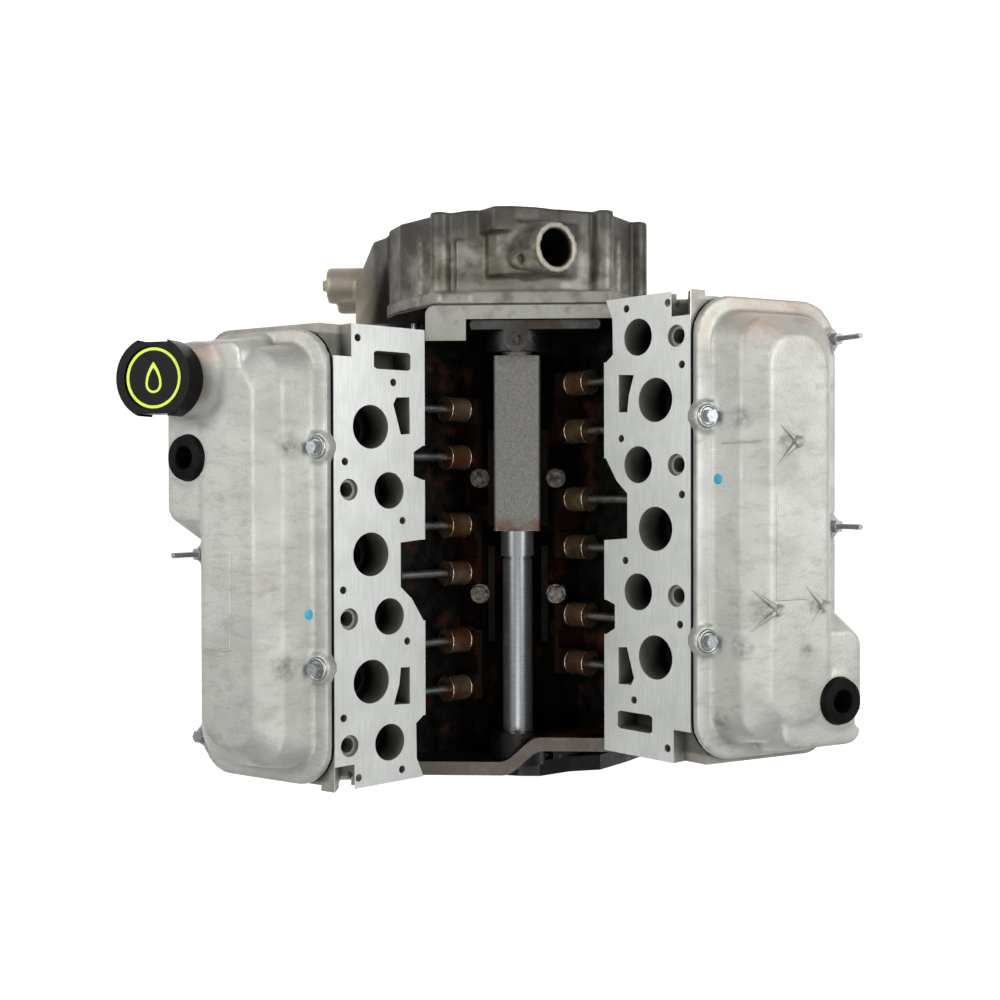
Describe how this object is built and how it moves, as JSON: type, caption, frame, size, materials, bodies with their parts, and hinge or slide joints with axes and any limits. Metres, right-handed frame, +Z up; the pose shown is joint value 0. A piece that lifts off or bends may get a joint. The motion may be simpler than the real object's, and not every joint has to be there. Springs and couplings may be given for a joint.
{
  "type": "car engine",
  "caption": "Ninety degree V6 long block with pushrod valve gear, cast valve covers, open valley with balance shaft, front cover and oil pan",
  "frame": {"origin": "on the crankshaft axis, in the plane of the block's bell housing face", "axes": "+Y ahead to the front cover, +Z up, +X to the right bank"},
  "size_m": [0.6087, 0.553, 0.5408],
  "materials": {
    "cast_block": "gloss black enamel over cast iron",
    "machined_head": "milled cast aluminium",
    "cast_cover": "shot-blasted die-cast aluminium",
    "front_casting": "oily weathered cast aluminium",
    "steel": "machined steel",
    "polished_shaft": "ground steel",
    "oiled_steel": "steel browned by oil",
    "zinc": "zinc plated",
    "bearing_alloy": "plain bearing alloy",
    "rubber": "moulded nitrile rubber",
    "cap_plastic": "moulded black nylon",
    "seal_brown": "fluoro rubber",
    "gasket": "gasket board",
    "guide_plastic": "moulded nylon",
    "piston_alloy": "turned cast aluminium",
    "pan_paint": "gloss black paint on pressed steel"
  },
  "bodies": {
    "engine": {"engine_block": "cast_block", "main_caps": "cast_block", "balance_thrust_plate": "cast_block", "cylinder_head_left": "machined_head", "cylinder_head_right": "machined_head", "valve_cover_left": "cast_cover", "valve_cover_right": "cast_cover", "oil_pump_cover": "cast_cover", "rear_seal_retainer": "cast_cover", "front_cover": "front_casting", "main_cap_bolts": "steel", "cam_thrust_plate": "steel", "timing_chain": "steel", "pushrods": "steel", "head_bolts": "steel", "valves": "steel", "valve_springs": "steel", "rockers": "steel", "rocker_bolts": "steel", "valley_bolts": "steel", "lifters": "oiled_steel", "lifter_guides": "oiled_steel", "lifter_retainers": "oiled_steel", "core_plugs": "zinc", "cover_bolts": "zinc", "cover_studs": "zinc", "front_cover_bolts": "zinc", "pan_bolts": "zinc", "drain_plug": "zinc", "oil_pickup": "zinc", "main_bearings": "bearing_alloy", "cam_bearings": "bearing_alloy", "balance_bushes": "bearing_alloy", "rear_seal": "rubber", "breather_grommets": "rubber", "front_seal": "rubber", "cover_gaskets": "rubber", "head_gaskets": "gasket", "front_cover_gasket": "gasket", "pan_gasket": "gasket", "chain_guide": "guide_plastic", "oil_pan": "pan_paint"},
    "crank": {"crankshaft": "steel", "crank_key": "zinc", "crank_sprocket": "steel"},
    "cam": {"camshaft": "steel", "balance_drive_gear": "steel", "cam_sprocket": "steel"},
    "balancer": {"balance_shaft": "polished_shaft", "balance_gear": "steel"},
    "pump_drive": {"pump_drive_gear": "steel"},
    "pump_idler": {"pump_idler_gear": "steel"},
    "cap": {"oil_filler_cap": "cap_plastic", "cap_seal": "seal_brown"},
    "piston_body_1": {"piston_1": "piston_alloy"},
    "piston_body_2": {"piston_2": "piston_alloy"},
    "piston_body_3": {"piston_3": "piston_alloy"},
    "piston_body_4": {"piston_4": "piston_alloy"},
    "piston_body_5": {"piston_5": "piston_alloy"},
    "piston_body_6": {"piston_6": "piston_alloy"}
  },
  "joints": [
    {"name": "crank_spin", "type": "hinge", "parent": "engine", "child": "crank", "pos_m": [0, 0, 0], "axis": [0, 1, 0], "continuous": true, "deforming": ["timing_chain"]},
    {"name": "cam_spin", "type": "hinge", "parent": "engine", "child": "cam", "pos_m": [0, 0, 0.11585], "axis": [0, 1, 0], "continuous": true},
    {"name": "balance_spin", "type": "hinge", "parent": "engine", "child": "balancer", "pos_m": [0, 0, 0.18485], "axis": [0, 1, 0], "continuous": true},
    {"name": "pump_spin", "type": "hinge", "parent": "engine", "child": "pump_drive", "pos_m": [-0.088, 0.5, -0.002], "axis": [0, 1, 0], "continuous": true},
    {"name": "idler_spin", "type": "hinge", "parent": "engine", "child": "pump_idler", "pos_m": [-0.088, 0.5, 0.031], "axis": [0, 1, 0], "continuous": true},
    {"name": "filler_cap_turn", "type": "hinge", "parent": "engine", "child": "cap", "pos_m": [-0.28289, 0.3541, 0.32103], "axis": [-0.2419, 0, 0.9703], "range_deg": [0, 90]},
    {"name": "piston_1_slide", "type": "slide", "parent": "engine", "child": "piston_body_1", "axis": [0.7071, 0, 0.7071], "range_m": [-0.095, 0]},
    {"name": "piston_2_slide", "type": "slide", "parent": "engine", "child": "piston_body_2", "axis": [0.7071, 0, 0.7071], "range_m": [-0.01808, 0.07692]},
    {"name": "piston_3_slide", "type": "slide", "parent": "engine", "child": "piston_body_3", "axis": [0.7071, 0, 0.7071], "range_m": [-0.01808, 0.07692]},
    {"name": "piston_4_slide", "type": "slide", "parent": "engine", "child": "piston_body_4", "axis": [-0.7071, 0, 0.7071], "range_m": [-0.01808, 0.07692]},
    {"name": "piston_5_slide", "type": "slide", "parent": "engine", "child": "piston_body_5", "axis": [-0.7071, 0, 0.7071], "range_m": [-0.095, 0]},
    {"name": "piston_6_slide", "type": "slide", "parent": "engine", "child": "piston_body_6", "axis": [-0.7071, 0, 0.7071], "range_m": [-0.01808, 0.07692]}
  ],
  "couplings": [
    {"joint": "cam_spin", "follows": "crank_spin", "ratio": 0.5},
    {"joint": "balance_spin", "follows": "crank_spin", "ratio": -1},
    {"joint": "idler_spin", "follows": "pump_spin", "ratio": -1},
    {"joint": "piston_5_slide", "follows": "piston_1_slide", "ratio": 1},
    {"joint": "piston_4_slide", "follows": "piston_2_slide", "ratio": 1},
    {"joint": "piston_6_slide", "follows": "piston_3_slide", "ratio": 1}
  ]
}
